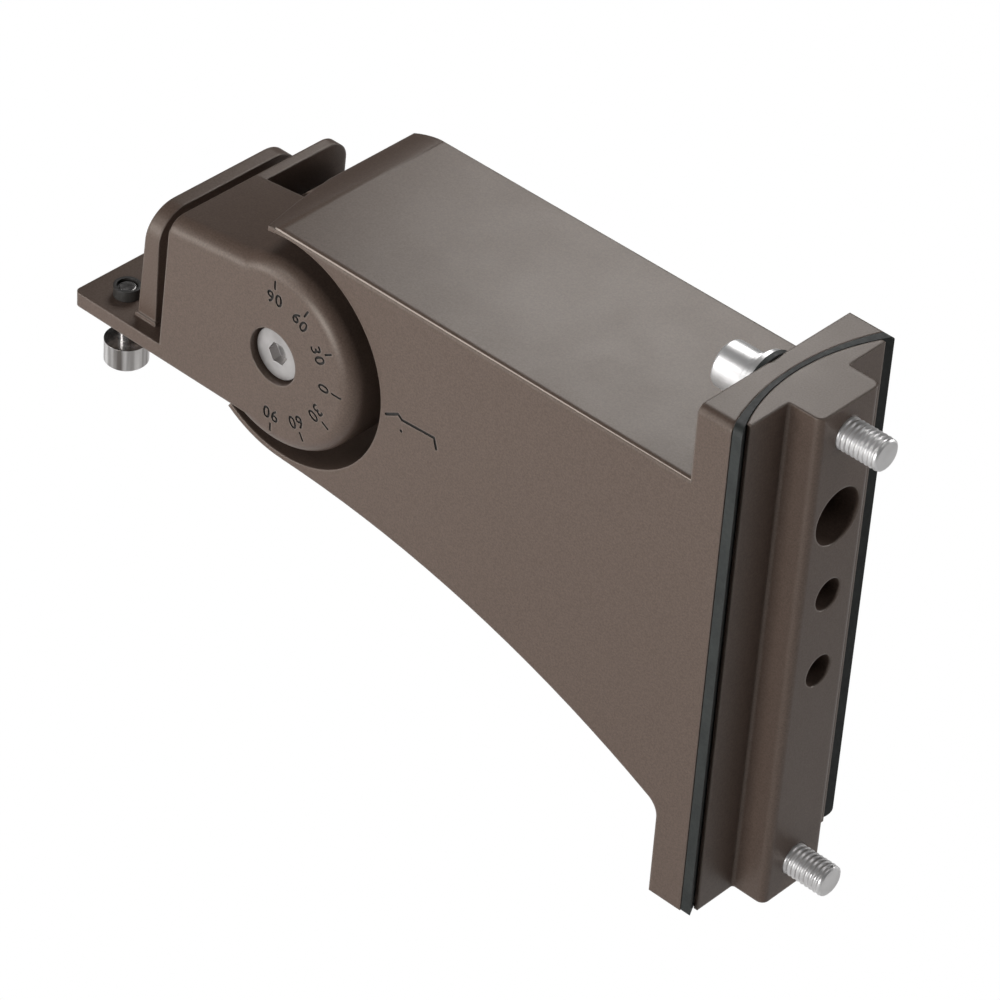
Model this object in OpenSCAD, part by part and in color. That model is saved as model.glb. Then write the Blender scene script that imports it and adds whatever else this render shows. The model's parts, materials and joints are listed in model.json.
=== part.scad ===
// Tilting mounting arm that carries a shoebox area light on a round pole.
// Origin: centre of the pole face, midway between the two pole bolts.
// +X runs from the pole out to the light, +Y to the dial side, +Z up.

/* [Pole flange] */
// Height of the pole flange
flange_h = 216; // [208:1:228]
// Width of the pole flange
flange_w = 78.3; // [74:0.1:84]
// Thickness of the flange at its side edges
flange_t = 14.8; // [13:0.1:17]
// Radius of the hollow that faces the pole
pole_hollow_r = 101.6; // [95:0.1:120]
// Depth of that hollow on the centre line
pole_hollow_depth = 7.4; // [6:0.1:8]
// Radius of the top corner on the dial side
flange_corner_r = 3.5; // [1:0.5:5]
// Distance of the pole bolts from the flange's top and bottom
bolt_edge = 12.75; // [12:0.05:18]
// Diameter of the pole bolts
bolt_d = 12.7; // [11:0.1:13]

/* [Gasket and nut plate] */
// Thickness of the gasket on the centre line
gasket_t = 1.8; // [1.2:0.1:2.4]
// Radius of the nut plate's bulged front
plate_bulge_r = 80; // [76:1:86]
// Width of the nut plate
plate_w = 69.3; // [66:0.1:72]
// Distance of the nut plate's flat back behind the pole face
plate_back = 4.3; // [4:0.1:6]
// Width of the rib on the nut plate
rib_w = 31; // [28:0.1:34]
// Height of the rib above the plate's back
rib_h = 14.2; // [12:0.1:17]
// Radius of the coves along the rib's foot
rib_cove_r = 1.2; // [0.6:0.1:5]
// Radius of the rib's two long outer edges
rib_edge_r = 3; // [1:0.5:6]
// Diameter of the wire hole
wire_hole_d = 22.6; // [18:0.2:24]
// Distance of the wire hole below the upper bolt
wire_hole_drop = 35.25; // [33:0.25:40]
// Distance from each hole in the rib to the next one below it
hole_pitch = 34; // [30:1:38]

/* [Arm] */
// Distance of the arm's flat top below the flange's top
arm_drop = 31; // [28:0.5:36]
// Overhang of the arm past the flange on its plain side
arm_overhang = 5.9; // [3:0.1:7]
// Wall thickness of the casting
wall = 5; // [4:0.1:6]
// Height of the underside arch's lower end above the lower pole bolt
belly_rise = 26.8; // [24:0.1:32]
// Radius of the fillet where the arch meets the flange
root_fillet_r = 8; // [5:0.5:10]
// Radius along the arm's long top edge on the dial side
arm_edge_r = 2.2; // [1:0.1:3]
// Radius along the arm's long top edge on the plain side
plain_edge_r = 0.6; // [0.4:0.1:3]

/* [Knuckle pivot] */
// Distance of the pivot from the pole face
pivot_x = 204; // [200:1:215]
// Radius of the arm's rounded end
hub_r = 49.6; // [49.2:0.1:50]
// Radius of the round pocket in the arm's side
pocket_r = 47.6; // [46.5:0.1:48]
// Radius of the dial disc
dial_r = 39.5; // [37:0.1:41]
// Radius of the dial's rounded rim
dial_edge_r = 7; // [5:0.5:8]
// Distance of the dial's face from the middle plane
dial_face_y = 45.8; // [43:0.1:48]
// Radius of the arm's inner drum
drum_r = 46; // [44:0.1:46.5]
// Angle of the pocket mouth's upper lip above the level
lip_up = 66; // [62:1:68]
// Angle of the pocket mouth's lower lip below the level
lip_down = 55.5; // [52:0.5:62]
// Diameter of the pivot screw
pivot_d = 12; // [11:0.1:12.6]
// Diameter of the pivot screw's head
pivot_head_d = 21; // [20:0.1:22]
// Height of the pivot screw's head
pivot_head_h = 7; // [5:0.5:8]
// Depth of the head's face below the dial's face
pivot_sunk = 2.7; // [1:0.1:4]

/* [Knuckle block] */
// Distance of the end wall's outer foot from the pivot
block_reach = 58; // [56:0.5:62]
// Lean of the end wall's outer face towards the pivot over its height
wall_lean = 4.2; // [2:0.1:5]
// Thickness of the end wall
end_wall_t = 4.8; // [4:0.1:6]
// Height of the block's top at the dial, above the pivot
block_up = 35.4; // [34:0.1:36]
// Height of the end wall's top above the pivot
end_wall_up = 31.4; // [30:0.1:33]
// Depth of the block's flat bottom below the pivot
block_down = 32.2; // [31:0.1:33]
// Radius of the tab's far top corner
tab_corner_r = 9.5; // [8:0.5:15]

/* [Saddle plate and plug plate] */
// Offset of the lamp bracket's middle towards the dial side
bracket_mid_y = 2.6; // [0:0.1:4]
// Length of the saddle plate past the end wall
saddle_reach = 45.6; // [43:0.1:52]
// Thickness of the saddle plate
saddle_t = 6.1; // [5:0.1:7]
// Gap between the end wall and the plug plate at the foot
housing_gap = 9.6; // [8:0.1:11]
// Thickness of the plug plate at its foot
plug_t = 9.1; // [8:0.1:10]
// Thickness of the plug plate at its top
plug_top_t = 6.3; // [4.5:0.1:7]
// Width of the plug plate
plug_w = 72.2; // [68:0.2:76]
// Height of the plug plate above the saddle plate
plug_h = 48.8; // [46:0.2:52]
// Radius of the plug plate's top corners
plug_corner_r = 13; // [9:0.5:16]
// Height of the narrow plinth round the plug plate's foot
plinth_h = 1.6; // [0.8:0.1:2.4]
// Diameter of the wire way into the lamp
wireway_d = 17; // [14:0.5:18]

/* [Captive screws] */
// Distance between the two captive screws
captive_spacing = 60.8; // [57:0.1:64]
// Place of the captive screws between the plug plate (0) and the saddle plate's outer edge (1)
captive_share = 0.44; // [0.42:0.01:0.6]
// Diameter of the captive screws' heads
captive_head_d = 17.2; // [15:0.2:18]
// Height of the captive screws' heads
captive_head_h = 10; // [8:0.5:12]
// Diameter of the captive screws' shanks
captive_d = 6.35; // [5.5:0.05:7]
// Travel of the captive screws
captive_travel = 13.8; // [10:0.1:15]
// Diameter of the retainer rings
retainer_d = 10.6; // [10:0.1:12]
// Height of the retainer rings
retainer_h = 4.5; // [3:0.1:6]

/* [Hidden] */
$fn = 64;
arc_fn = 360;
eps = 0.5;
// Clearances: running fit of a shaft or thread, loose fit of a piece, gap between moving faces
running_fit = 0.05;
loose_fit = 0.3;
face_gap = 0.3;
seat_gap = 0.1;
far_reach = 200;

powder = [0.37, 0.34, 0.32];
rubber = [0.13, 0.14, 0.13];
zinc = [0.80, 0.80, 0.79];
satin = [0.66, 0.64, 0.62];
bronze = [0.68, 0.50, 0.28];
black_nylon = [0.16, 0.16, 0.15];

function hex_r(across_flats) = across_flats / 2 / cos(30);

near_y = flange_w / 2;
far_y = flange_w / 2 + arm_overhang;
bolt_z = flange_h / 2 - bolt_edge;
wire_hole_z = bolt_z - wire_hole_drop;
spare_upper_z = wire_hole_z - hole_pitch;
spare_lower_z = spare_upper_z - hole_pitch;
arm_top_z = flange_h / 2 - arm_drop;
hub_rise = 0.2;
pivot_z = arm_top_z - hub_r + hub_rise;
saddle_top = pivot_z - block_down + saddle_t;
tap_r = bolt_d / 2 + running_fit;
hollow_x = pole_hollow_depth - pole_hollow_r;
gasket_back = pole_hollow_depth - gasket_t;
bulge_x = gasket_back - plate_bulge_r;
rib_back = plate_back + rib_h;
plate_corner_r = 4;
small_corner_r = 1;
bolt_clearance_r = bolt_d / 2 + 0.6;

// Underside arch: level just outboard of the pivot, where it runs into the rounded end
belly_offset = 7.5;
belly_top_x = pivot_x + belly_offset;
belly_top_z = pivot_z - hub_r;
belly_run = belly_top_x - flange_t;
belly_drop = belly_top_z + bolt_z - belly_rise;
belly_r = (belly_run * belly_run + belly_drop * belly_drop) / (2 * belly_drop);
belly_centre_z = belly_top_z - belly_r;
fillet_x = flange_t + root_fillet_r;
fillet_drop = pow(belly_r - root_fillet_r, 2) - pow(belly_top_x - fillet_x, 2);
fillet_z = belly_centre_z + sqrt(fillet_drop);
fillet_lean = root_fillet_r / (belly_r - root_fillet_r);
fillet_touch_x = fillet_x + (fillet_x - belly_top_x) * fillet_lean;
fillet_touch_z = fillet_z + (fillet_z - belly_centre_z) * fillet_lean;

// Window behind the gasket, where the wires enter the hollow arm
window_w = 44;
window_low = spare_lower_z - hole_pitch;
window_high = arm_top_z - wall - 2 * loose_fit;
window_r = 6;

// Half-lap at the middle plane: floor of the arm, brake disc, inner face of the tongue
floor_face = -1;
floor_t = 5;
disc_t = 2.7;
tongue_face = floor_face + disc_t + face_gap;
disc_out_r = 19;
slot_in_r = 21.5;
slot_out_r = 30.5;
slot_from = 125;
slot_to = 235;
seal_r = 34.2;
seal_tube_r = 1.5;
seal_groove_r = seal_tube_r + running_fit;
seal_groove_deep = 1.2;
boss_r = 13;
shell_y = near_y - wall;

// Pocket mouth as seen from above: the lip sweeps back towards the dial side
lip_near = 11;
lip_mid = 16;
lip_near_x = pivot_x + lip_near;
lip_mid_x = pivot_x + lip_mid;
lip_deep_x = pivot_x + hub_r * cos(lip_up);
top_edge_past = 8;

// Pivot screw, bush and nut along Y
pivot_clearance_r = pivot_d / 2 + loose_fit;
pivot_socket_af = 8;
pivot_socket_deep = 4;
head_top = dial_face_y - pivot_sunk;
head_seat = head_top - pivot_head_h;
thrust_t = 2;
thrust_r = pivot_head_d / 2 + 0.4;
counterbore_r = pivot_head_d / 2 + 0.95;
bush_r = pivot_d / 2 + 2;
nut_af = 18;
nut_h = 10;
nut_y = -far_y + 3.5;
screw_end = nut_y + 0.7;
cap_t = 1.6;
cap_r = 14.5;

// Knuckle block, all measured from the pivot axis
block_end_x = pivot_x + block_reach;
block_top_x = pivot_x + block_reach - wall_lean;
saddle_z = pivot_z - block_down;
end_wall_z = pivot_z + end_wall_up;
block_z = pivot_z + block_up;
top_start_x = pivot_x + sqrt(max(1, dial_r * dial_r - block_up * block_up));
top_run = block_top_x - top_start_x;
top_lean = atan((block_up - end_wall_up) / top_run);
top_root_offset = 10;
top_root_x = pivot_x + top_root_offset;
top_root_z = block_z + (top_start_x - top_root_x) * tan(top_lean);
saddle_end_x = block_end_x + saddle_reach;
saddle_corner_r = 2.5;
bracket_low_y = 2 * bracket_mid_y - dial_face_y;
tongue_wall = 4.5;
plug_x = block_end_x + housing_gap;
plug_back_lean = 1.5;
plug_low_y = bracket_mid_y - plug_w / 2;
plug_high_y = bracket_mid_y + plug_w / 2;
plinth_out = 0.8;
neck_low_y = -26;
neck_high_y = 29;
neck_up = 38;
wireway_y = 17;
wireway_up = 19;
wireway_z = saddle_top + wireway_up;
wireway_r = wireway_d / 2;
wire_bush_wall = 2;
wire_bush_flange_r = wireway_r + 2.5;
wire_bush_flange_t = 3;
housing_seal_r = 16.5;
housing_seal_t = 5.2;
housing_seal_x = plug_x + plug_t - housing_seal_t - 0.8;
wire_bush_flange_x = housing_seal_x - wire_bush_flange_t;

// Captive screws
captive_x = plug_x + plug_t + captive_share * (saddle_end_x - plug_x - plug_t);
captive_hole_r = captive_d / 2 + 0.4;
captive_socket_af = 5;
captive_socket_deep = 5;
captive_chamfer = 0.8;
retainer_z = saddle_top + seat_gap;
retainer_recess_r = retainer_d / 2 - 1.2;
retainer_recess = 1.8;
captive_head_z = saddle_z - captive_travel;
captive_tip_z = retainer_z + retainer_h - 0.8;

// Pole bolt stack, from the flange's front outwards
seal_washer_t = 2.2;
seal_washer_r = 13.5;
flat_washer_t = 2.4;
flat_washer_r = 12.7;
lock_washer_t = 3.2;
lock_washer_r = 10;
lock_washer_split = 1.2;
lock_washer_slant = 30;
washer_hole_r = bolt_d / 2 + 0.25;
flat_washer_x = flange_t + seal_washer_t;
lock_washer_x = flat_washer_x + flat_washer_t;
bolt_head_x = lock_washer_x + lock_washer_t;
bolt_head_d = 18;
bolt_head_h = 12.7;
bolt_head_edge = 0.9;
bolt_socket_af = 9.5;
bolt_thread_r = bolt_d / 2 - running_fit;
bolt_chamfer = 1;
bolt_stickout = 17;
bolt_tip_x = rib_back + bolt_stickout;

// Extrude a side view (X, Z) from y_low to y_high
module side_slab(y_low, y_high) {
    translate([0, y_high, 0]) rotate([90, 0, 0]) linear_extrude(y_high - y_low) children();
}

// Extrude an end view (Y, Z) from x_low to x_high
module end_slab(x_low, x_high) {
    translate([x_low, 0, 0]) rotate([90, 0, 90]) linear_extrude(x_high - x_low) children();
}

// Cylinder along Y about the pivot axis
module pivot_cylinder(r, y_low, y_high, sides = $fn) {
    translate([pivot_x, y_high, pivot_z])
        rotate([90, 0, 0]) cylinder(r = r, h = y_high - y_low, $fn = sides);
}

// Cylinder along X from x_low to x_high
module x_cylinder(r, x_low, x_high, y, z) {
    translate([x_low, y, z]) rotate([0, 90, 0]) cylinder(r = r, h = x_high - x_low);
}

// Waste left outside a rounded edge: the corner at the origin, material in the +X +Y quarter
module corner_waste(r) {
    difference() {
        translate([-eps, -eps]) square(r + eps);
        translate([r, r]) circle(r);
    }
}

// Rectangle with its own radius at each corner, counted from low left anticlockwise
module rounded_box(x_low, y_low, x_high, y_high, radii) {
    difference() {
        translate([x_low, y_low]) square([x_high - x_low, y_high - y_low]);
        if (radii[0] > 0) translate([x_low, y_low]) corner_waste(radii[0]);
        if (radii[1] > 0) translate([x_high, y_low]) rotate(90) corner_waste(radii[1]);
        if (radii[2] > 0) translate([x_high, y_high]) rotate(180) corner_waste(radii[2]);
        if (radii[3] > 0) translate([x_low, y_high]) rotate(270) corner_waste(radii[3]);
    }
}

// Wedge about the pivot between two angles above the level
module sector(from, to, reach) {
    translate([pivot_x, pivot_z]) polygon(concat([[0, 0]],
        [for (k = [0:4]) let (a = from + (to - from) * k / 4) reach * [cos(a), sin(a)]]));
}

// Side view of the arm's solid outline, grown inwards by inset
module arm_side(inset) {
    difference() {
        union() {
            difference() {
                translate([-eps, -flange_h / 2])
                    square([pivot_x + eps, arm_top_z - inset + flange_h / 2]);
                translate([belly_top_x, belly_centre_z]) circle(belly_r + inset, $fn = arc_fn * 2);
            }
            translate([pivot_x, pivot_z]) circle(hub_r - inset, $fn = arc_fn);
            if (inset == 0) root_fillet();
        }
        translate([-eps, arm_top_z - inset]) square([far_reach * 2, far_reach]);
    }
}

module root_fillet() {
    difference() {
        polygon([[flange_t - 1, fillet_z], [flange_t, fillet_z], [fillet_touch_x, fillet_touch_z],
            [flange_t - 1, fillet_touch_z + root_fillet_r]]);
        translate([fillet_x, fillet_z]) circle(root_fillet_r);
    }
}

module flange_blank() {
    end_slab(0, flange_t) rounded_box(-flange_w / 2, -flange_h / 2, flange_w / 2, flange_h / 2,
        [0, 0, flange_corner_r, small_corner_r]);
}

// Kidney slot through both faces of the half-lap, where the wires cross the pivot
module wire_slot(y_low, y_high) {
    side_slab(y_low, y_high) intersection() {
        translate([pivot_x, pivot_z]) difference() {
            circle(slot_out_r);
            circle(slot_in_r);
        }
        sector(slot_from, slot_to, 2 * slot_out_r);
    }
}

// Everything cut away so that the tongue can enter and tilt
module pocket_cut() {
    pivot_cylinder(pocket_r, floor_face, far_reach, arc_fn);
    side_slab(floor_face, far_reach) sector(-lip_down, lip_up, far_reach / 2);
    translate([0, 0, pivot_z]) linear_extrude(far_reach)
        polygon([[lip_near_x, near_y + 1], [lip_near_x, near_y], [lip_mid_x, near_y / 2],
            [lip_deep_x, floor_face], [far_reach * 2, floor_face], [far_reach * 2, near_y + 1]]);
}

// Hollow of the arm: long box, drum on the plain side, ring round the pocket left standing
module arm_hollow() {
    difference() {
        side_slab(-far_y + wall, shell_y) intersection() {
            arm_side(wall);
            union() {
                translate([flange_t, -flange_h / 2]) square([pivot_x - flange_t, flange_h]);
                translate([pivot_x, pivot_z]) circle(drum_r - wall, $fn = arc_fn);
            }
        }
        pivot_cylinder(pocket_r + wall, floor_face - floor_t, far_reach, arc_fn);
        pivot_cylinder(boss_r, -far_reach, far_reach);
    }
}

module arm_housing() {
    color(powder) difference() {
        union() {
            flange_blank();
            difference() {
                side_slab(-far_y, near_y) difference() {
                    arm_side(0);
                    square([flange_t / 2, far_reach], center = true);
                }
                side_slab(-far_y - 1, near_y + 1)
                    difference() {
                        sector(-lip_down, lip_up, far_reach / 2);
                        translate([pivot_x, pivot_z]) circle(drum_r, $fn = arc_fn);
                    }
                translate([-eps, -far_y - 1, -flange_h])
                    cube([flange_t + eps, arm_overhang + 1, 2 * flange_h]);
            }
        }
        pocket_cut();
        arm_hollow();
        translate([hollow_x, 0, -flange_h])
            cylinder(r = pole_hollow_r, h = 2 * flange_h, $fn = arc_fn);
        end_slab(-1, flange_t + 1)
            rounded_box(-window_w / 2, window_low, window_w / 2, window_high,
                [window_r, window_r, window_r, window_r]);
        for (side = [-1, 1]) x_cylinder(bolt_clearance_r, -1, flange_t + 1, 0, side * bolt_z);
        top_edge_cut(near_y, 180, arm_edge_r);
        top_edge_cut(-far_y, 270, plain_edge_r);
        wire_slot(floor_face - floor_t - 1, floor_face + 1);
        pivot_cylinder(pivot_clearance_r, -far_reach, far_reach);
        pivot_cylinder(hex_r(nut_af + loose_fit), -far_y - 1, nut_y + nut_h, 6);
        pivot_cylinder(cap_r + loose_fit, -far_y - 1, -far_y + cap_t);
        difference() {
            pivot_cylinder(seal_r + seal_groove_r, floor_face - seal_groove_deep, floor_face + 1);
            pivot_cylinder(seal_r - seal_groove_r, floor_face - 2, floor_face + 2);
        }
    }
}

// Rounds one long top edge of the arm; turn points the waste's corner outwards
module top_edge_cut(y, turn, r) {
    length = pivot_x - flange_t + top_edge_past;
    translate([flange_t, y, arm_top_z])
        rotate([90, 0, 90]) linear_extrude(length) rotate(turn) corner_waste(r);
}

module pole_gasket() {
    color(rubber) difference() {
        intersection() {
            end_slab(-2 * plate_back, flange_t) rounded_box(-flange_w / 2, -flange_h / 2,
                flange_w / 2, flange_h / 2,
                [plate_corner_r, small_corner_r, flange_corner_r, small_corner_r]);
            translate([hollow_x, 0, -flange_h])
                cylinder(r = pole_hollow_r, h = 2 * flange_h, $fn = arc_fn);
        }
        translate([bulge_x, 0, -flange_h]) cylinder(r = plate_bulge_r, h = 2 * flange_h, $fn = arc_fn);
        x_cylinder(wire_hole_d / 2, -far_reach, far_reach, 0, wire_hole_z);
        for (side = [-1, 1]) x_cylinder(bolt_clearance_r, -far_reach, far_reach, 0, side * bolt_z);
    }
}

// Plan view of the nut plate: bulged front, flat back, rib with coves at its foot
module plate_plan() {
    intersection() {
        translate([bulge_x, 0]) circle(plate_bulge_r - face_gap, $fn = arc_fn);
        translate([-plate_back, -plate_w / 2]) square([flange_t + plate_back, plate_w]);
    }
    rounded_box(-rib_back, -rib_w / 2, -plate_back + eps, rib_w / 2, [rib_edge_r, 0, 0, rib_edge_r]);
    for (side = [0, 1]) mirror([0, side]) translate([-plate_back, rib_w / 2]) difference() {
        translate([-rib_cove_r, -eps]) square(rib_cove_r + eps);
        translate([-rib_cove_r, rib_cove_r]) circle(rib_cove_r);
    }
}

module pole_nut_plate() {
    color(powder) difference() {
        translate([0, 0, -flange_h / 2]) linear_extrude(flange_h) plate_plan();
        x_cylinder(wire_hole_d / 2, -far_reach, far_reach, 0, wire_hole_z);
        x_cylinder(tap_r, -far_reach, far_reach, 0, spare_upper_z);
        x_cylinder(tap_r, -far_reach, far_reach, 0, spare_lower_z);
        for (side = [-1, 1]) x_cylinder(tap_r, -far_reach, far_reach, 0, side * bolt_z);
    }
}

module pole_bolt(z) {
    color(zinc) translate([0, 0, z]) difference() {
        union() {
            x_cylinder(bolt_thread_r, -bolt_tip_x + bolt_chamfer, -rib_back + eps, 0, 0);
            translate([-bolt_tip_x, 0, 0]) rotate([0, 90, 0])
                cylinder(r1 = bolt_thread_r - bolt_chamfer, r2 = bolt_thread_r, h = bolt_chamfer);
            x_cylinder(bolt_d / 2, -rib_back, bolt_head_x + eps, 0, 0);
            x_cylinder(bolt_head_d / 2, bolt_head_x, bolt_head_x + bolt_head_h - bolt_head_edge, 0, 0);
            translate([bolt_head_x + bolt_head_h - bolt_head_edge, 0, 0]) rotate([0, 90, 0])
                cylinder(r1 = bolt_head_d / 2, r2 = bolt_head_d / 2 - bolt_head_edge, h = bolt_head_edge);
        }
        translate([bolt_head_x + bolt_head_h / 2, 0, 0]) rotate([0, 90, 0])
            cylinder(r = hex_r(bolt_socket_af), h = bolt_head_h, $fn = 6);
    }
}

module pole_bolt_upper() {
    pole_bolt(bolt_z);
}

module pole_bolt_lower() {
    pole_bolt(-bolt_z);
}

module washer_pair(x, t, r) {
    for (side = [-1, 1]) difference() {
        x_cylinder(r, x, x + t, 0, side * bolt_z);
        x_cylinder(washer_hole_r, x - 1, x + t + 1, 0, side * bolt_z);
    }
}

module pole_seal_washers() {
    color(rubber) washer_pair(flange_t, seal_washer_t, seal_washer_r);
}

module pole_flat_washers() {
    color(zinc) washer_pair(flat_washer_x, flat_washer_t, flat_washer_r);
}

// Split washers: a slanted saw cut through one side of the ring
module pole_lock_washers() {
    color(zinc) difference() {
        washer_pair(lock_washer_x, lock_washer_t, lock_washer_r);
        for (side = [-1, 1])
            translate([lock_washer_x + lock_washer_t / 2, lock_washer_r, side * bolt_z])
                rotate([0, lock_washer_slant, 0])
                    cube([3 * lock_washer_t, lock_washer_r, lock_washer_split], center = true);
    }
}

// Dial disc with its rounded rim, face towards +Y
module dial_blank(inset, y_low) {
    edge = dial_edge_r - inset;
    translate([pivot_x, y_low, pivot_z]) rotate([-90, 0, 0]) rotate_extrude($fn = arc_fn)
        intersection() {
            union() {
                square([dial_r - inset - edge, dial_face_y - inset - y_low]);
                square([dial_r - inset, dial_face_y - inset - edge - y_low]);
                translate([dial_r - inset - edge, dial_face_y - inset - edge - y_low]) circle(edge);
            }
            square([dial_r, dial_face_y]);
        }
}

// Side view of the tongue's block between the dial and the end wall
module block_side(inset) {
    polygon([[pivot_x, saddle_z + inset], [block_end_x - inset, saddle_z + inset],
        [block_end_x - inset, saddle_top], [block_top_x - inset, end_wall_z - inset],
        [top_root_x, top_root_z - inset], [pivot_x, pivot_z + dial_r / 2]]);
}

module block_blank(inset, y_low) {
    difference() {
        side_slab(y_low, dial_face_y - inset) block_side(inset);
        translate([top_start_x, dial_face_y - inset, block_z - inset]) rotate([0, top_lean, 0])
            translate([-dial_r, 0, 0]) rotate([90, 0, 90]) linear_extrude(3 * block_reach)
                rotate(180) corner_waste(dial_edge_r - inset);
    }
}

// End wall with the tab on the plain side
module end_wall() {
    intersection() {
        side_slab(bracket_low_y, dial_face_y)
            polygon([[block_end_x - end_wall_t - 1, saddle_z], [block_end_x, saddle_z],
                [block_end_x, saddle_top], [block_top_x, end_wall_z],
                [block_top_x - end_wall_t, end_wall_z]]);
        end_slab(pivot_x, far_reach * 2) rounded_box(bracket_low_y, saddle_z, dial_face_y, end_wall_z,
            [0, 0, dial_edge_r, tab_corner_r]);
    }
}

module saddle_plate() {
    translate([0, 0, saddle_z]) linear_extrude(saddle_t)
        rounded_box(block_end_x - end_wall_t - 1, bracket_low_y, saddle_end_x, dial_face_y,
            [0, saddle_corner_r, saddle_corner_r, 0]);
}

// Tapered plate that plugs into the lamp housing, and the neck that carries it
module plug_plate() {
    top = saddle_top + plug_h;
    intersection() {
        side_slab(plug_low_y, plug_high_y)
            polygon([[plug_x, saddle_top - 1], [plug_x + plug_t, saddle_top - 1],
                [plug_x + plug_t, saddle_top + plinth_h], [plug_x - plug_back_lean + plug_top_t, top],
                [plug_x - plug_back_lean, top]]);
        end_slab(pivot_x, far_reach * 2)
            rounded_box(plug_low_y, saddle_z, plug_high_y, top, [0, 0, plug_corner_r, plug_corner_r]);
    }
    translate([plug_x - plinth_out, plug_low_y - plinth_out, saddle_top - 1])
        cube([plug_t + 2 * plinth_out, plug_w + 2 * plinth_out, plinth_h + 1]);
    translate([block_end_x - end_wall_t, neck_low_y, saddle_top - 1])
        cube([housing_gap + end_wall_t + 1, neck_high_y - neck_low_y, neck_up + 1]);
}

module tongue_hollow() {
    difference() {
        intersection() {
            side_slab(tongue_face + tongue_wall, dial_face_y - dial_edge_r - 1) union() {
                difference() {
                    block_side(tongue_wall);
                    translate([pivot_x - dial_r, -far_reach]) square([dial_r, 2 * far_reach]);
                }
                translate([pivot_x, pivot_z]) circle(dial_r - tongue_wall);
            }
            translate([0, 0, saddle_top]) cube([block_end_x - end_wall_t - 1, far_reach, far_reach]);
        }
        pivot_cylinder(boss_r, -far_reach, far_reach);
    }
}

module knuckle_casting() {
    color(powder) difference() {
        union() {
            dial_blank(0, tongue_face);
            block_blank(0, tongue_face);
            end_wall();
            saddle_plate();
            plug_plate();
        }
        tongue_hollow();
        wire_slot(tongue_face - 1, tongue_face + tongue_wall + 1);
        pivot_cylinder(bush_r, -far_reach, far_reach);
        pivot_cylinder(counterbore_r, head_seat - thrust_t, far_reach);
        x_cylinder(wireway_r, pivot_x + boss_r + 2, far_reach * 2, wireway_y, wireway_z);
        x_cylinder(wire_bush_flange_r, wire_bush_flange_x, far_reach * 2, wireway_y, wireway_z);
        x_cylinder(housing_seal_r, housing_seal_x, far_reach * 2, wireway_y, wireway_z);
        for (side = [-1, 1])
            on_captive_axis(side, saddle_z - 1) cylinder(r = captive_hole_r, h = saddle_t + 2);
    }
}

module pivot_screw() {
    color(satin) difference() {
        union() {
            pivot_cylinder(pivot_head_d / 2, head_seat, head_top);
            pivot_cylinder(pivot_d / 2, screw_end, head_seat + eps);
        }
        pivot_cylinder(hex_r(pivot_socket_af), head_top - pivot_socket_deep, head_top + 1, 6);
    }
}

module pivot_thrust_washer() {
    color(zinc) difference() {
        pivot_cylinder(thrust_r, head_seat - thrust_t + seat_gap, head_seat);
        pivot_cylinder(pivot_d / 2 + running_fit, 0, far_reach);
    }
}

module pivot_bush() {
    color(bronze) difference() {
        pivot_cylinder(bush_r, tongue_face + seat_gap, head_seat - thrust_t - 2 * seat_gap);
        pivot_cylinder(pivot_d / 2 + running_fit, -far_reach, far_reach);
    }
}

module friction_disc() {
    color(bronze) difference() {
        pivot_cylinder(disc_out_r, floor_face, floor_face + disc_t);
        pivot_cylinder(pivot_clearance_r, -far_reach, far_reach);
    }
}

module hub_seal() {
    color(rubber) translate([pivot_x, floor_face - seal_groove_deep + seal_groove_r, pivot_z])
        rotate([-90, 0, 0]) rotate_extrude($fn = 96) translate([seal_r, 0]) circle(seal_tube_r, $fn = 32);
}

module pivot_nut() {
    color(zinc) difference() {
        pivot_cylinder(hex_r(nut_af), nut_y, nut_y + nut_h, 6);
        pivot_cylinder(pivot_d / 2 + running_fit, -far_reach, far_reach);
    }
}

module nut_cap() {
    color(black_nylon) {
        pivot_cylinder(cap_r, -far_y, -far_y + cap_t);
        pivot_cylinder(nut_af / 2 - loose_fit, -far_y, nut_y - face_gap);
    }
}

module wireway_bush() {
    color(rubber) difference() {
        union() {
            x_cylinder(wireway_r, block_end_x - end_wall_t - 1, housing_seal_x, wireway_y, wireway_z);
            x_cylinder(wire_bush_flange_r, wire_bush_flange_x, housing_seal_x, wireway_y, wireway_z);
        }
        x_cylinder(wireway_r - wire_bush_wall, pivot_x, far_reach * 2, wireway_y, wireway_z);
    }
}

module housing_gasket() {
    color(rubber) difference() {
        x_cylinder(housing_seal_r, housing_seal_x, housing_seal_x + housing_seal_t, wireway_y, wireway_z);
        x_cylinder(wireway_r, pivot_x, far_reach * 2, wireway_y, wireway_z);
    }
}

// Places a piece on one captive screw's axis at height z
module on_captive_axis(side, z) {
    translate([captive_x, bracket_mid_y + side * captive_spacing / 2, z]) children();
}

module captive_screw(side) {
    head_r = captive_head_d / 2;
    color(zinc) on_captive_axis(side, captive_head_z - captive_head_h) difference() {
        union() {
            cylinder(r1 = head_r - captive_chamfer, r2 = head_r, h = captive_chamfer);
            translate([0, 0, captive_chamfer]) cylinder(r = head_r, h = captive_head_h - captive_chamfer);
            translate([0, 0, captive_head_h - eps])
                cylinder(r = captive_d / 2, h = captive_tip_z - captive_head_z + eps);
        }
        translate([0, 0, -1])
            cylinder(r = hex_r(captive_socket_af), h = captive_socket_deep + 1, $fn = 6);
    }
}

module captive_screw_near() {
    captive_screw(1);
}

module captive_screw_far() {
    captive_screw(-1);
}

module captive_retainer(side) {
    color(black_nylon) on_captive_axis(side, retainer_z) difference() {
        cylinder(r = retainer_d / 2, h = retainer_h);
        translate([0, 0, -1]) cylinder(r = captive_d / 2 + running_fit, h = retainer_h + 2);
        translate([0, 0, retainer_h - retainer_recess])
            cylinder(r = retainer_recess_r, h = retainer_recess + 1);
    }
}

module captive_retainer_near() {
    captive_retainer(1);
}

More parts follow.
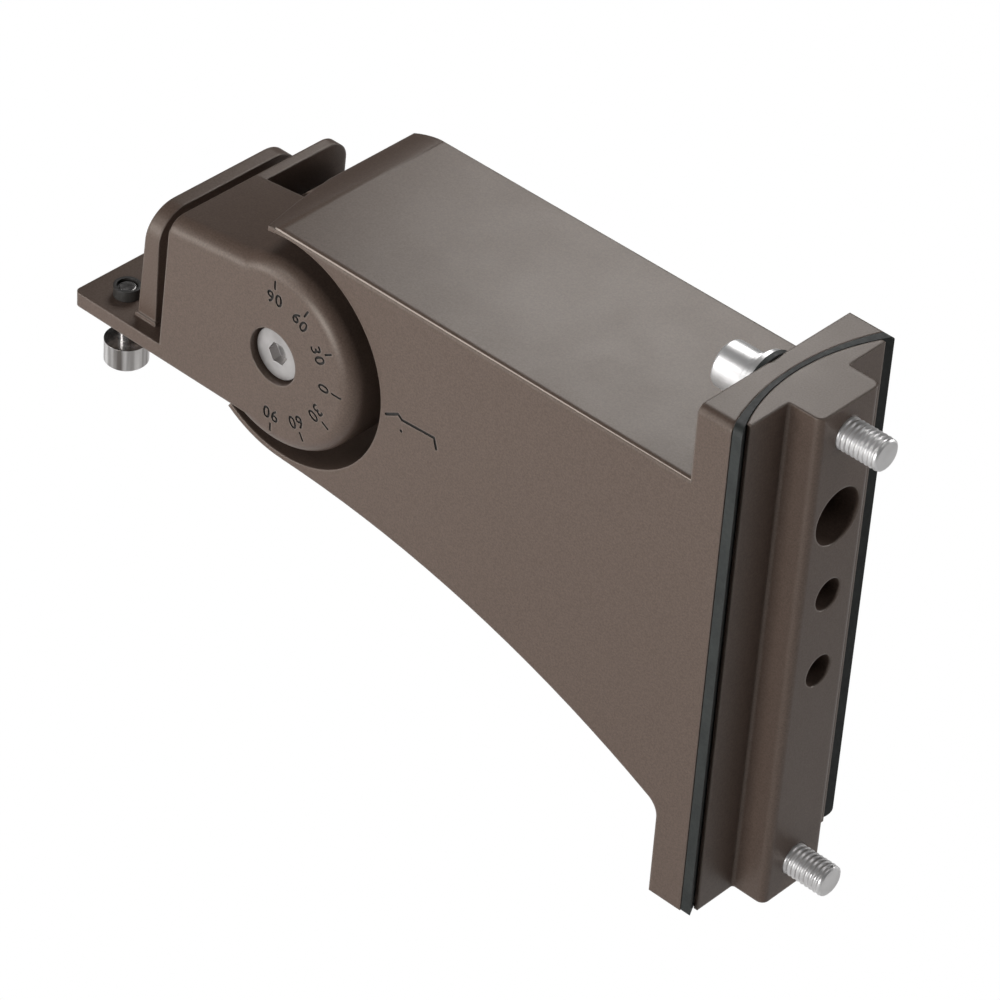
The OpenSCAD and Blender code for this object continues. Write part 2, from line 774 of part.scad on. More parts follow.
module captive_retainer_far() {
    captive_retainer(-1);
}

arm_housing();
pole_gasket();
pole_nut_plate();
pole_bolt_upper();
pole_bolt_lower();
pole_flat_washers();
pole_lock_washers();
pole_seal_washers();
knuckle_casting();
pivot_screw();
pivot_thrust_washer();
pivot_bush();
friction_disc();
hub_seal();
pivot_nut();
nut_cap();
wireway_bush();
housing_gasket();
captive_screw_near();
captive_screw_far();
captive_retainer_near();
captive_retainer_far();
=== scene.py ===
import json
import math

import bmesh
import bpy
from mathutils import Matrix, Vector


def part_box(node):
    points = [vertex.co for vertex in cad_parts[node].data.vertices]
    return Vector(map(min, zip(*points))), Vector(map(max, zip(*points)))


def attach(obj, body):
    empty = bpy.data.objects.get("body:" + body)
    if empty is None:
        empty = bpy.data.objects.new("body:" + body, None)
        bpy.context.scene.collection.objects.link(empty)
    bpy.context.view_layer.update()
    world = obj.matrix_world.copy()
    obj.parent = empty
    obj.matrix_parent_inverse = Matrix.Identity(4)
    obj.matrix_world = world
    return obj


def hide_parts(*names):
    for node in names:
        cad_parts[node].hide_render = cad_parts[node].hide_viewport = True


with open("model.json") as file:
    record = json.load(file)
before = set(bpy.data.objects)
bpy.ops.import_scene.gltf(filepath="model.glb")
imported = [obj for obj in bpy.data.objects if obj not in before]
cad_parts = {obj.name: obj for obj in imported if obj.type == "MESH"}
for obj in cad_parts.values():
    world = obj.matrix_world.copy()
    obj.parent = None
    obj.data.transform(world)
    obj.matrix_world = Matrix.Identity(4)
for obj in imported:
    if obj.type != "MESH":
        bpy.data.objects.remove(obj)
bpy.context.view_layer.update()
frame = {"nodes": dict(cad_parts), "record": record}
nodes = frame["nodes"]
print("frame loaded:", len(nodes), "nodes")

mm = 0.001
weldReach = {"casting": 0.002 * mm, "figure": 0.001 * mm, "turned": 0.0005 * mm}
creaseAngle = {"casting": 28, "bolt": 24}


# Helpers for meshes

def addObject(name, mesh):
    piece = bpy.data.objects.new(name, mesh)
    bpy.context.scene.collection.objects.link(piece)
    return piece


def pieceFromBmesh(name, bm, material=None):
    bmesh.ops.recalc_face_normals(bm, faces=bm.faces)
    mesh = bpy.data.meshes.new(name)
    bm.to_mesh(mesh)
    bm.free()
    if material:
        mesh.materials.append(material)
    return addObject(name, mesh)


def shadeByAngle(piece, degrees):
    bm = bmesh.new()
    bm.from_mesh(piece.data)
    for face in bm.faces:
        face.smooth = True
    for edge in bm.edges:
        flatEnough = len(edge.link_faces) == 2 and edge.calc_face_angle(0.0) < math.radians(degrees)
        edge.smooth = flatEnough
    bm.to_mesh(piece.data)
    bm.free()


def weldedCopy(node, name):
    bm = bmesh.new()
    bm.from_mesh(nodes[node].data)
    bmesh.ops.remove_doubles(bm, verts=bm.verts, dist=weldReach["casting"])
    bmesh.ops.dissolve_limit(bm, angle_limit=math.radians(0.05), verts=bm.verts, edges=bm.edges)
    bmesh.ops.triangulate(bm, faces=bm.faces)
    return pieceFromBmesh(name, bm)


def applyModifiers(piece):
    depsgraph = bpy.context.evaluated_depsgraph_get()
    mesh = bpy.data.meshes.new_from_object(piece.evaluated_get(depsgraph))
    piece.modifiers.clear()
    piece.data = mesh


def cutAway(piece, cutter):
    cut = piece.modifiers.new("cut", "BOOLEAN")
    cut.operation = "DIFFERENCE"
    cut.solver = "EXACT"
    cut.material_mode = "TRANSFER"
    cut.object = cutter
    applyModifiers(piece)
    bpy.data.objects.remove(cutter)


def belongsTo(piece, body, slot, *replaced):
    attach(piece, body)
    if replaced:
        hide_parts(*replaced)


# Helpers for materials

def newMaterial(name):
    material = bpy.data.materials.new(name)
    material.use_nodes = True
    tree = material.node_tree
    return material, tree, tree.nodes["Principled BSDF"]


def groupSocket(group, name, direction, kind, value=None):
    socket = group.interface.new_socket(name=name, in_out=direction, socket_type=kind)
    if value is not None:
        socket.default_value = value


def mathNode(tree, operation, *values):
    node = tree.nodes.new("ShaderNodeMath")
    node.operation = operation
    for index, value in enumerate(values):
        if isinstance(value, (int, float)):
            node.inputs[index].default_value = value
        else:
            tree.links.new(value, node.inputs[index])
    return node.outputs[0]


def vectorNode(tree, operation, *values):
    node = tree.nodes.new("ShaderNodeVectorMath")
    node.operation = operation
    for index, value in enumerate(values):
        tree.links.new(value, node.inputs[index])
    return node


# Rounds small edges for the light and gives a mask of where they are
def edgeGroup():
    group = bpy.data.node_groups.new("edgeRounding", "ShaderNodeTree")
    groupSocket(group, "Radius", "INPUT", "NodeSocketFloat", 0.0008)
    groupSocket(group, "Edge", "OUTPUT", "NodeSocketFloat")
    groupSocket(group, "Normal", "OUTPUT", "NodeSocketVector")
    given, result = group.nodes.new("NodeGroupInput"), group.nodes.new("NodeGroupOutput")
    bevel = group.nodes.new("ShaderNodeBevel")
    bevel.samples = 8
    group.links.new(given.outputs["Radius"], bevel.inputs["Radius"])
    geometry = group.nodes.new("ShaderNodeNewGeometry")
    likeness = vectorNode(group, "DOT_PRODUCT", bevel.outputs["Normal"], geometry.outputs["Normal"])
    spread = group.nodes.new("ShaderNodeMapRange")
    spread.inputs["From Min"].default_value = 0.99
    spread.inputs["From Max"].default_value = 0.80
    group.links.new(likeness.outputs["Value"], spread.inputs["Value"])
    group.links.new(spread.outputs["Result"], result.inputs["Edge"])
    group.links.new(bevel.outputs["Normal"], result.inputs["Normal"])
    return group


def grainGroup():
    group = bpy.data.node_groups.new("fineGrain", "ShaderNodeTree")
    groupSocket(group, "Scale", "INPUT", "NodeSocketFloat", 900.0)
    groupSocket(group, "Mottle Scale", "INPUT", "NodeSocketFloat", 30.0)
    groupSocket(group, "Squeeze", "INPUT", "NodeSocketVector", (1, 1, 1))
    groupSocket(group, "Grain", "OUTPUT", "NodeSocketFloat")
    groupSocket(group, "Mottle", "OUTPUT", "NodeSocketFloat")
    given, result = group.nodes.new("NodeGroupInput"), group.nodes.new("NodeGroupOutput")
    place = group.nodes.new("ShaderNodeTexCoord")
    squeezed = vectorNode(group, "MULTIPLY", place.outputs["Object"], given.outputs["Squeeze"])
    for output, scaleName, detail in (("Grain", "Scale", 3.0), ("Mottle", "Mottle Scale", 2.0)):
        noise = group.nodes.new("ShaderNodeTexNoise")
        noise.inputs["Detail"].default_value = detail
        noise.inputs["Roughness"].default_value = 0.55
        group.links.new(squeezed.outputs["Vector"], noise.inputs["Vector"])
        group.links.new(given.outputs[scaleName], noise.inputs["Scale"])
        group.links.new(noise.outputs["Fac"], result.inputs[output])
    return group


# Fine tool marks left by turning about one axis: rings on end faces, lines round the sides
def turningGroup():
    group = bpy.data.node_groups.new("turningMarks", "ShaderNodeTree")
    groupSocket(group, "Centre", "INPUT", "NodeSocketVector", (0, 0, 0))
    groupSocket(group, "Axis", "INPUT", "NodeSocketVector", (1, 0, 0))
    groupSocket(group, "Pitch", "INPUT", "NodeSocketFloat", 0.0004)
    groupSocket(group, "Marks", "OUTPUT", "NodeSocketFloat")
    given, result = group.nodes.new("NodeGroupInput"), group.nodes.new("NodeGroupOutput")
    place = group.nodes.new("ShaderNodeTexCoord")
    arm = vectorNode(group, "SUBTRACT", place.outputs["Object"], given.outputs["Centre"])
    along = vectorNode(group, "DOT_PRODUCT", arm.outputs["Vector"], given.outputs["Axis"])
    across = vectorNode(group, "CROSS_PRODUCT", arm.outputs["Vector"], given.outputs["Axis"])
    radius = vectorNode(group, "LENGTH", across.outputs["Vector"])
    reach = mathNode(group, "ADD", along.outputs["Value"], radius.outputs["Value"])
    phase = mathNode(group, "DIVIDE", mathNode(group, "MULTIPLY", reach, math.tau),
                     given.outputs["Pitch"])
    group.links.new(mathNode(group, "SINE", phase), result.inputs["Marks"])
    return group


edgeRounding = edgeGroup()
fineGrain = grainGroup()
turningMarks = turningGroup()


def placeGroup(tree, group, **values):
    node = tree.nodes.new("ShaderNodeGroup")
    node.node_tree = group
    for name, value in values.items():
        node.inputs[name.replace("_", " ")].default_value = value
    return node


def colourBetween(tree, factor, first, second):
    mix = tree.nodes.new("ShaderNodeMix")
    mix.data_type = "RGBA"
    for name, value in (("A", first), ("B", second)):
        socket = [s for s in mix.inputs if s.name == name and s.type == "RGBA"][0]
        if isinstance(value, tuple):
            socket.default_value = (*value, 1.0)
        else:
            tree.links.new(value, socket)
    tree.links.new(factor, mix.inputs["Factor"])
    return [s for s in mix.outputs if s.type == "RGBA"][0]


def rangeOf(tree, value, low, high, start=0.3, end=0.7):
    spread = tree.nodes.new("ShaderNodeMapRange")
    for name, number in (("From Min", start), ("From Max", end), ("To Min", low), ("To Max", high)):
        spread.inputs[name].default_value = number
    tree.links.new(value, spread.inputs["Value"])
    return spread.outputs["Result"]


def bumpFrom(tree, height, normal, strength, distance):
    bump = tree.nodes.new("ShaderNodeBump")
    bump.inputs["Strength"].default_value = strength
    bump.inputs["Distance"].default_value = distance
    tree.links.new(height, bump.inputs["Height"])
    tree.links.new(normal, bump.inputs["Normal"])
    return bump.outputs["Normal"]


# Dark bronze powder coat on the castings

powderFinish = {
    "dark": (0.080, 0.055, 0.043),
    "light": (0.122, 0.086, 0.069),
    # Painted highlight: the pale edge colour below is mixed along every small rounded edge, at the share
    # after it, whatever the light
    "edge": (0.270, 0.225, 0.195),
    "edgeHighlightShare": 0.40,
    # Painted highlight: the next pale colour goes on the marked faces of the long rounded top edges that
    # lean up and towards +Y
    "paintedGlint": (0.500, 0.425, 0.370),
    "sheen": (1.0, 0.92, 0.83),
    "edgeRadius": 1.3 * mm,
    "roughness": (0.39, 0.42),
    "grainScale": 1500.0,
    "mottleScale": 60.0,
    "grainStrength": 0.10,
    "grainHeight": 0.2 * mm,
}


def powderCoat(look):
    material, tree, shader = newMaterial("darkBronzePowderCoat")
    edge = placeGroup(tree, edgeRounding, Radius=look["edgeRadius"])
    grain = placeGroup(tree, fineGrain, Scale=look["grainScale"], Mottle_Scale=look["mottleScale"])
    speck = rangeOf(tree, grain.outputs["Grain"], 0.0, 1.0)
    coat = colourBetween(tree, speck, look["dark"], look["light"])
    # Painted highlight: the bevel edge mask lightens every small rounded edge towards the pale edge colour,
    # whatever the light
    edgeHighlightMask = mathNode(tree, "MULTIPLY", edge.outputs["Edge"], look["edgeHighlightShare"])
    coat = colourBetween(tree, edgeHighlightMask, coat, look["edge"])
    # Painted highlight: the marked top-edge faces take a pale colour, a highlight line painted along the
    # fillet
    glintMark = tree.nodes.new("ShaderNodeAttribute")
    glintMark.attribute_name = "paintedEdgeGlint"
    coat = colourBetween(tree, glintMark.outputs["Fac"], coat, look["paintedGlint"])
    tree.links.new(coat, shader.inputs["Base Color"])
    shader.inputs["Specular Tint"].default_value = (*look["sheen"], 1.0)
    low, high = look["roughness"]
    tree.links.new(rangeOf(tree, grain.outputs["Mottle"], low, high), shader.inputs["Roughness"])
    normal = bumpFrom(tree, grain.outputs["Grain"], edge.outputs["Normal"],
                      look["grainStrength"], look["grainHeight"])
    tree.links.new(normal, shader.inputs["Normal"])
    return material


grainHeight = {"moulded": 0.1 * mm, "turned": 0.05 * mm}


# Matt mouldings: rubber, nylon, fibre, and the near-black painted shade in the engraved grooves

def mattMoulding(name, look):
    material, tree, shader = newMaterial(name)
    edge = placeGroup(tree, edgeRounding, Radius=look["edgeRadius"])
    grain = placeGroup(tree, fineGrain, Scale=look["grainScale"], Mottle_Scale=look["mottleScale"])
    bloom = rangeOf(tree, grain.outputs["Mottle"], 0.0, 1.0)
    tree.links.new(colourBetween(tree, bloom, look["dark"], look["light"]), shader.inputs["Base Color"])
    low, high = look["roughness"]
    tree.links.new(rangeOf(tree, grain.outputs["Grain"], low, high), shader.inputs["Roughness"])
    tree.links.new(bumpFrom(tree, grain.outputs["Grain"], edge.outputs["Normal"],
                            look["grainStrength"], grainHeight["moulded"]), shader.inputs["Normal"])
    return material


rubberFinish = {"dark": (0.008, 0.0105, 0.0095), "light": (0.018, 0.022, 0.020), "roughness": (0.55, 0.68),
                "edgeRadius": 0.35 * mm, "grainScale": 700.0, "mottleScale": 90.0, "grainStrength": 0.06}
nylonFinish = {"dark": (0.026, 0.024, 0.022), "light": (0.044, 0.041, 0.038), "roughness": (0.36, 0.46),
               "edgeRadius": 0.35 * mm, "grainScale": 900.0, "mottleScale": 120.0, "grainStrength": 0.05}
fibreFinish = {"dark": (0.150, 0.100, 0.060), "light": (0.250, 0.180, 0.120), "roughness": (0.68, 0.82),
               "edgeRadius": 0.2 * mm, "grainScale": 500.0, "mottleScale": 300.0, "grainStrength": 0.15}
# Painted shade: near-black colour for the cut walls and floors of the engraved figures, ticks and pointer,
# standing in for the shade in the grooves
grooveShadeFinish = {"dark": (0.006, 0.005, 0.004), "light": (0.016, 0.013, 0.011), "roughness": (0.60, 0.75),
             "edgeRadius": 0.1 * mm, "grainScale": 900.0, "mottleScale": 200.0, "grainStrength": 0.05}


# Bare turned metal, each axis with its own tool marks

def turnedMetal(name, look, centre, axis):
    material, tree, shader = newMaterial(name)
    shader.inputs["Metallic"].default_value = look["metallic"]
    edge = placeGroup(tree, edgeRounding, Radius=look["edgeRadius"])
    grain = placeGroup(tree, fineGrain, Scale=look["grainScale"], Mottle_Scale=look["mottleScale"],
                       Squeeze=look.get("squeeze", (1, 1, 1)))
    marks = placeGroup(tree, turningMarks, Centre=centre, Axis=axis, Pitch=look["pitch"])
    cloud = rangeOf(tree, grain.outputs["Mottle"], 0.0, 1.0)
    tree.links.new(colourBetween(tree, cloud, look["dark"], look["light"]), shader.inputs["Base Color"])
    low, high = look["roughness"]
    tree.links.new(rangeOf(tree, grain.outputs["Grain"], low, high), shader.inputs["Roughness"])
    height = mathNode(tree, "MULTIPLY_ADD", marks.outputs["Marks"], look["markShare"],
                      grain.outputs["Grain"])
    normal = bumpFrom(tree, height, edge.outputs["Normal"], look["grainStrength"], grainHeight["turned"])
    tree.links.new(normal, shader.inputs["Normal"])
    return material


zincFinish = {"dark": (0.66, 0.65, 0.645), "light": (0.80, 0.79, 0.785), "roughness": (0.32, 0.40),
              "edgeRadius": 0.35 * mm, "grainScale": 420.0, "mottleScale": 90.0, "grainStrength": 0.05,
              "pitch": 0.45 * mm, "markShare": 0.3, "metallic": 0.62}
# Painted reflection: the wide dark-to-light range, stretched along Z by the squeeze, paints vertical
# reflection streaks on the polished pieces
polishedFinishPaintedStreaks = {"dark": (0.16, 0.145, 0.135), "light": (0.86, 0.84, 0.83), "roughness": (0.16, 0.24),
                  "edgeRadius": 0.35 * mm, "grainScale": 300.0, "mottleScale": 260.0, "grainStrength": 0.03,
                  "squeeze": (1, 1, 0.03),
                  "pitch": 0.55 * mm, "markShare": 0.5, "metallic": 0.92}
satinFinish = {"dark": (0.42, 0.40, 0.39), "light": (0.56, 0.54, 0.53), "roughness": (0.36, 0.46),
               "edgeRadius": 0.4 * mm, "grainScale": 400.0, "mottleScale": 110.0, "grainStrength": 0.05,
               "pitch": 0.5 * mm, "markShare": 0.4, "metallic": 0.90}
bronzeFinish = {"dark": (0.42, 0.28, 0.12), "light": (0.60, 0.42, 0.21), "roughness": (0.30, 0.42),
                "edgeRadius": 0.3 * mm, "grainScale": 600.0, "mottleScale": 200.0, "grainStrength": 0.08,
                "pitch": 0.5 * mm, "markShare": 0.3, "metallic": 1.0}

pivotCentre = sum((Vector(corner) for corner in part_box("pivot_screw")), Vector()) / 2
finishOfSlot = {
    "powder_coat": powderCoat(powderFinish),
    "black_rubber": mattMoulding("blackRubber", rubberFinish),
    "black_nylon": mattMoulding("blackNylon", nylonFinish),
    "brake_lining": mattMoulding("pressedBrakeFibre", fibreFinish),
    "zinc_steel": turnedMetal("brightZincPlate", zincFinish, (0, 0, 0), (1, 0, 0)),
    "polished_steel": turnedMetal("polishedSteelPaintedStreaks", polishedFinishPaintedStreaks, (0, 0, 0), (0, 0, 1)),
    "satin_steel": turnedMetal("satinSteel", satinFinish, pivotCentre, (0, 1, 0)),
    "bronze": turnedMetal("oiledBronze", bronzeFinish, pivotCentre, (0, 1, 0)),
}
# Painted shade: the grooves cut into the castings carry this near-black colour in place of the shade inside
# them
paintedGrooveShade = mattMoulding("paintedGrooveShade", grooveShadeFinish)
slotOfNode = {part["node"]: part["material_slot"] for part in frame["record"]["subparts"]}
for nodeName, slotName in slotOfNode.items():
    for materialSlot in nodes[nodeName].material_slots:
        materialSlot.material = finishOfSlot[slotName]
print("finishes made:", len(finishOfSlot) + 1)


# Engraved degree ring on the dial

dialRing = {
    "face": 45.8 * mm,
    "figureRadius": 25.4 * mm,
    "figureSize": 7.2 * mm,
    "letterSpace": 1.12,
    "extraStroke": 0.13 * mm,
    "tickFrom": 29.9 * mm,
    "tickTo": 33.0 * mm,
    "zeroTickTo": 34.0 * mm,
    "tickWidth": 0.85 * mm,
    "depth": 0.55 * mm,
    "step": 30,
}


# Frame of a figure on a face that looks along +Y: up is outwards, reading runs clockwise
def faceFrame(origin, outward):
    normal = Vector((0, 1, 0))
    across = outward.cross(normal)
    turn = Matrix((across, outward, normal)).transposed()
    return Matrix.Translation(origin) @ turn.to_4x4()


def figureCutter(text, place, look):
    curve = bpy.data.curves.new("figure", "FONT")
    curve.body = text
    curve.size = look["figureSize"]
    curve.align_x = "CENTER"
    curve.align_y = "CENTER"
    curve.space_character = look["letterSpace"]
    curve.offset = look["extraStroke"]
    curve.extrude = look["depth"]
    curve.resolution_u = 3
    holder = addObject("figure", curve)
    depsgraph = bpy.context.evaluated_depsgraph_get()
    mesh = bpy.data.meshes.new_from_object(holder.evaluated_get(depsgraph))
    bpy.data.objects.remove(holder)
    bm = bmesh.new()
    bm.from_mesh(mesh)
    bmesh.ops.remove_doubles(bm, verts=bm.verts, dist=weldReach["figure"])
    bmesh.ops.transform(bm, matrix=place, verts=bm.verts)
    return pieceFromBmesh("figureCutter", bm, paintedGrooveShade)


# A straight groove between two places on a face that looks along +Y
def grooveCutter(start, end, width, depth):
    run = end - start
    bm = bmesh.new()
    bmesh.ops.create_cube(bm, size=1.0)
    bmesh.ops.scale(bm, vec=(width, run.length + width, 2 * depth), verts=bm.verts)
    sides = [edge for edge in bm.edges if abs((edge.verts[0].co - edge.verts[1].co).z) > depth]
    bmesh.ops.bevel(bm, geom=sides, offset=width * 0.45, offset_type="OFFSET", segments=4, profile=0.5,
                    affect="EDGES", material=-1)
    place = faceFrame((start + end) / 2, run.normalized())
    bmesh.ops.transform(bm, matrix=place, verts=bm.verts)
    return pieceFromBmesh("grooveCutter", bm, paintedGrooveShade)


def engravedKnuckle(look):
    knuckle = weldedCopy("knuckle_casting", "knuckle_dressed")
    knuckle.data.materials.append(finishOfSlot["powder_coat"])
    centre = Vector((pivotCentre.x, look["face"], pivotCentre.z))
    for place in range(-3, 4):
        angle = math.radians(180 + place * look["step"])
        outward = Vector((math.cos(angle), 0, math.sin(angle)))
        text = str(abs(place) * look["step"])
        spot = centre + outward * look["figureRadius"]
        cutAway(knuckle, figureCutter(text, faceFrame(spot, outward), look))
        tickTo = look["tickTo"] if place else look["zeroTickTo"]
        cutAway(knuckle, grooveCutter(centre + outward * look["tickFrom"], centre + outward * tickTo,
                                      look["tickWidth"], look["depth"]))
    shadeByAngle(knuckle, creaseAngle["casting"])
    belongsTo(knuckle, "knuckle", "powder_coat", "knuckle_casting")
    return knuckle


# Engraved pointer beside the dial, as X and Z on the arm's side

pointer = {
    "face": 39.15 * mm,
    "path": ((153.7, 26.7), (147.9, 29.9), (145.9, 28.4), (130.3, 29.3), (129.0, 25.1)),
    "dot": (146.1, 23.4),
    "dotLength": 0.2 * mm,
    "width": 1.15 * mm,
    "depth": 0.5 * mm,
}


# Painted highlight: faces along the middle of the long rounded top edges that lean up and towards +Y are
# marked for a pale colour, a highlight line painted on the fillet
paintedGlintFaces = {"least": 20 * mm, "lean": 0.6}


def markPaintedGlint(piece, look):
    glintMark = piece.data.attributes.new("paintedEdgeGlint", "FLOAT", "FACE")
    corners = piece.data.vertices
    for face, mark in zip(piece.data.polygons, glintMark.data):
        spots = [corners[index].co for index in face.vertices]
        longest = max((first - second).length for first, second in zip(spots, spots[1:] + spots[:1]))
        slanted = min(face.normal.y, face.normal.z) > look["lean"]
        mark.value = float(slanted and longest > look["least"])


def engravedArm(look):
    arm = weldedCopy("arm_housing", "arm_dressed")
    arm.data.materials.append(finishOfSlot["powder_coat"])
    corners = [Vector((x * mm, look["face"], z * mm)) for x, z in look["path"]]
    for start, end in zip(corners, corners[1:]):
        cutAway(arm, grooveCutter(start, end, look["width"], look["depth"]))
    dotX, dotZ = look["dot"]
    dot = Vector((dotX * mm, look["face"], dotZ * mm))
    nudge = Vector((look["dotLength"] / 2, 0, 0))
    cutAway(arm, grooveCutter(dot - nudge, dot + nudge, look["width"], look["depth"]))
    shadeByAngle(arm, creaseAngle["casting"])
    markPaintedGlint(arm, paintedGlintFaces)
    belongsTo(arm, "arm", "powder_coat", "arm_housing")
    return arm


knuckleDressed = engravedKnuckle(dialRing)
armDressed = engravedArm(pointer)
print("castings engraved:", len(knuckleDressed.data.polygons), len(armDressed.data.polygons), "faces")


# Turned pieces

def turnedBlank(outline, segments):
    bm = bmesh.new()
    corners = [bm.verts.new((along, radius, 0)) for along, radius in outline]
    edges = [bm.edges.new(pair) for pair in zip(corners, corners[1:])]
    bmesh.ops.spin(bm, geom=corners + edges, cent=(0, 0, 0), axis=(1, 0, 0), angle=math.tau,
                   steps=segments, use_merge=True, use_duplicate=False)
    bmesh.ops.remove_doubles(bm, verts=bm.verts, dist=weldReach["turned"])
    return bm


def roundedCorner(along, radius, r, outwards, count=5):
    return [(along + outwards * r * (math.sin(turn) - 1), radius + r * (math.cos(turn) - 1))
            for turn in [math.pi / 2 * (1 - k / count) for k in range(count + 1)]]


def hexPrism(place, acrossFlats, length, material):
    bm = bmesh.new()
    bmesh.ops.create_cone(bm, segments=6, radius1=acrossFlats / 2 / math.cos(math.pi / 6),
                          radius2=acrossFlats / 2 / math.cos(math.pi / 6), depth=length, cap_ends=True)
    bmesh.ops.transform(bm, matrix=place, verts=bm.verts)
    return pieceFromBmesh("hexCutter", bm, material)


poleBolt = {
    "threadRadius": 6.28 * mm,
    "threadDepth": 0.48 * mm,
    "threadPitch": 1.954 * mm,
    "ringsPerPitch": 8,
    "flankSlope": 2.4,
    "crestShare": 0.1,
    "skinShare": 0.98,
    "fadeShare": 0.5,
    "shankRadius": 6.34 * mm,
    "headRadius": 9.0 * mm,
    "headHeight": 12.7 * mm,
    "headRound": 1.5 * mm,
    "seatChamfer": 0.3 * mm,
    "threadFrom": -18.5 * mm,
    "tipRound": 0.5 * mm,
    "socket": 9.5 * mm,
    "socketDepth": 6.3 * mm,
    "segments": 72,
}


# The crest of the thread moves on by one pitch for each turn round the bolt
def cutThread(bm, look):
    for vertex in bm.verts:
        radius = math.hypot(vertex.co.y, vertex.co.z)
        if radius < look["threadRadius"] * look["skinShare"] or vertex.co.x > look["threadFrom"]:
            continue
        turns = math.atan2(vertex.co.z, vertex.co.y) / math.tau
        phase = (vertex.co.x / look["threadPitch"] + turns) % 1.0
        groove = min(1.0, max(0.0, look["flankSlope"] * abs(phase - 0.5) - look["crestShare"]))
        fade = min(1.0, (look["threadFrom"] - vertex.co.x) / (look["fadeShare"] * look["threadPitch"]))
        share = 1 - look["threadDepth"] / radius * groove * fade
        vertex.co.y *= share
        vertex.co.z *= share


def dressedPoleBolt(node, body, look):
    low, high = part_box(node)
    tip, top = low[0], high[0]
    headFrom = top - look["headHeight"]
    tipRound = look["tipRound"]
    outline = [(tip, 0.0), (tip, look["threadRadius"] - look["threadDepth"] - tipRound)]
    outline.append((tip + tipRound, look["threadRadius"] - tipRound * 0.5))
    step = look["threadPitch"] / look["ringsPerPitch"]
    rings = int((look["threadFrom"] - tip - 2 * tipRound) / step)
    outline += [(tip + 2 * tipRound + k * step, look["threadRadius"]) for k in range(rings + 1)]
    chamfer = look["seatChamfer"]
    outline += [(look["threadFrom"] + step, look["shankRadius"]), (headFrom, look["shankRadius"]),
                (headFrom, look["headRadius"] - chamfer), (headFrom + chamfer, look["headRadius"])]
    outline += reversed(roundedCorner(top, look["headRadius"], look["headRound"], 1, 6))
    outline.append((top, 0.0))
    bm = turnedBlank(outline, look["segments"])
    cutThread(bm, look)
    axisZ = (low[2] + high[2]) / 2
    bmesh.ops.translate(bm, vec=(0, 0, axisZ), verts=bm.verts)
    bolt = pieceFromBmesh(node + "_dressed", bm, finishOfSlot["zinc_steel"])
    turn = Matrix.Rotation(math.pi / 2, 4, "Y")
    place = Matrix.Translation((top, 0, axisZ)) @ turn
    cutAway(bolt, hexPrism(place, look["socket"], 2 * look["socketDepth"], finishOfSlot["zinc_steel"]))
    shadeByAngle(bolt, creaseAngle["bolt"])
    belongsTo(bolt, body, "zinc_steel", node)
    return bolt


for nodeName, bodyName in (("pole_bolt_upper", "bolt_upper"), ("pole_bolt_lower", "bolt_lower")):
    dressedPoleBolt(nodeName, bodyName, poleBolt)
print("pole bolts threaded")


# Camera and light

cameraView = {
    "target": Vector((92.14, 45.66, 27.16)) * mm,
    "distance": 1725.6 * mm,
    "azimuth": 130.6545,
    "elevation": 38.0146,
    "roll": 4.1892,
    "lens": 179.29,
}


def directionTo(azimuth, elevation):
    az, el = math.radians(azimuth), math.radians(elevation)
    return Vector((math.cos(el) * math.cos(az), math.cos(el) * math.sin(az), math.sin(el)))


def addCamera(view):
    back = directionTo(view["azimuth"], view["elevation"])
    level = Vector((0, 0, 1)).cross(back).normalized()
    lift = back.cross(level)
    roll = math.radians(view["roll"])
    right = level * math.cos(roll) + lift * math.sin(roll)
    camera = addObject("camera", bpy.data.cameras.new("camera"))
    turn = Matrix((right, back.cross(right), back)).transposed()
    camera.matrix_world = Matrix.Translation(view["target"] + back * view["distance"]) @ turn.to_4x4()
    camera.data.sensor_width = 36.0
    camera.data.lens = view["lens"]
    camera.data.clip_end = 50.0
    bpy.context.scene.camera = camera


# Each lamp is a square soft box that looks at its aim from a direction and distance
def addLamp(name, azimuth, elevation, power, distance=1400 * mm, size=700 * mm, aim=cameraView["target"]):
    back = directionTo(azimuth, elevation)
    data = bpy.data.lights.new(name, "AREA")
    data.size = size
    data.energy = power
    lamp = addObject(name, data)
    lamp.location = aim + back * distance
    lamp.rotation_euler = back.to_track_quat("Z", "Y").to_euler()
    return lamp


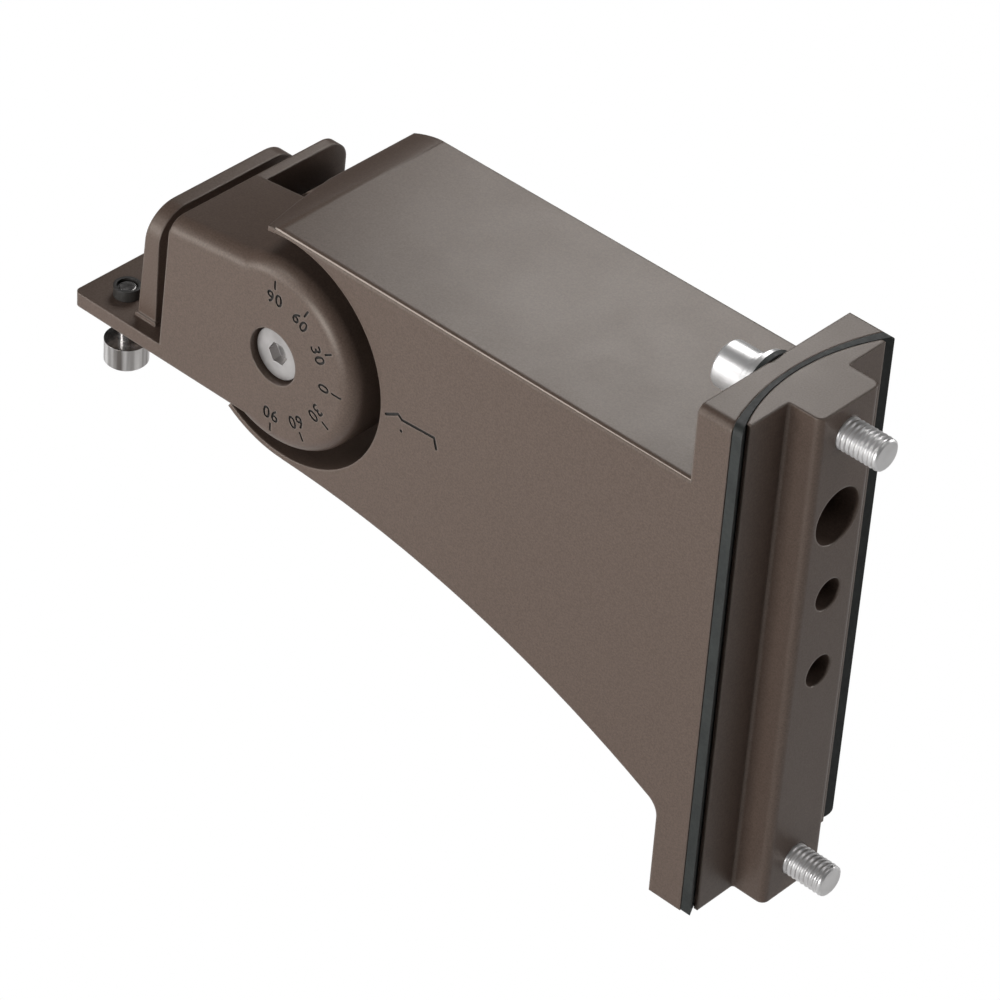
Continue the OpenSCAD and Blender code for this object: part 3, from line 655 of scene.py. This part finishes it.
# The floor lights the part from below through its glow, and the camera sees it as plain white
def addFloor(low, glowLevel):
    bm = bmesh.new()
    bmesh.ops.create_grid(bm, x_segments=1, y_segments=1, size=4.0)
    bmesh.ops.translate(bm, vec=(0, 0, low), verts=bm.verts)
    material, tree, shader = newMaterial("paleFloor")
    shader.inputs["Base Color"].default_value = (0.9, 0.9, 0.9, 1)
    shader.inputs["Roughness"].default_value = 0.9
    path = tree.nodes.new("ShaderNodeLightPath")
    shader.inputs["Emission Color"].default_value = (1, 1, 1, 1)
    shader.inputs["Emission Strength"].default_value = glowLevel
    glow = tree.nodes.new("ShaderNodeEmission")
    glow.inputs["Color"].default_value = (1, 1, 1, 1)
    blend = tree.nodes.new("ShaderNodeMixShader")
    tree.links.new(path.outputs["Is Camera Ray"], blend.inputs["Fac"])
    tree.links.new(shader.outputs["BSDF"], blend.inputs[1])
    tree.links.new(glow.outputs["Emission"], blend.inputs[2])
    tree.links.new(blend.outputs["Shader"], tree.nodes["Material Output"].inputs["Surface"])
    floor = pieceFromBmesh("floor", bm, material)


def addWorld(strength):
    world = bpy.data.worlds.new("studio")
    bpy.context.scene.world = world
    world.use_nodes = True
    tree = world.node_tree
    back = tree.nodes["Background"]
    back.inputs["Color"].default_value = (1, 1, 1, 1)
    path = tree.nodes.new("ShaderNodeLightPath")
    level = mathNode(tree, "MULTIPLY_ADD", path.outputs["Is Camera Ray"], 1.0 - strength, strength)
    tree.links.new(level, back.inputs["Strength"])


addCamera(cameraView)
studio = {"worldLevel": 0.01, "floorGlow": 0.12, "floorDrop": 60 * mm}
addWorld(studio["worldLevel"])
addLamp("sideLamp", 90, 6, 12.0, size=500 * mm)
addLamp("lampEndLamp", 45, 6, 5.6, size=500 * mm)
addLamp("poleLamp", 240, 8, 4.7, size=350 * mm)
addLamp("topLamp", 304, 39, 1.7, distance=650 * mm, size=300 * mm)
addLamp("poleTopLamp", 200, 40, 0.2, distance=450 * mm, size=200 * mm)
addLamp("edgeLamp", 50, 37, 1.5, distance=1000 * mm, size=250 * mm)
bpy.context.scene.view_settings.view_transform = "Standard"
lowest = min(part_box(name)[0][2] for name in nodes)
addFloor(lowest - studio["floorDrop"], studio["floorGlow"])
print("camera, lamps and floor placed")
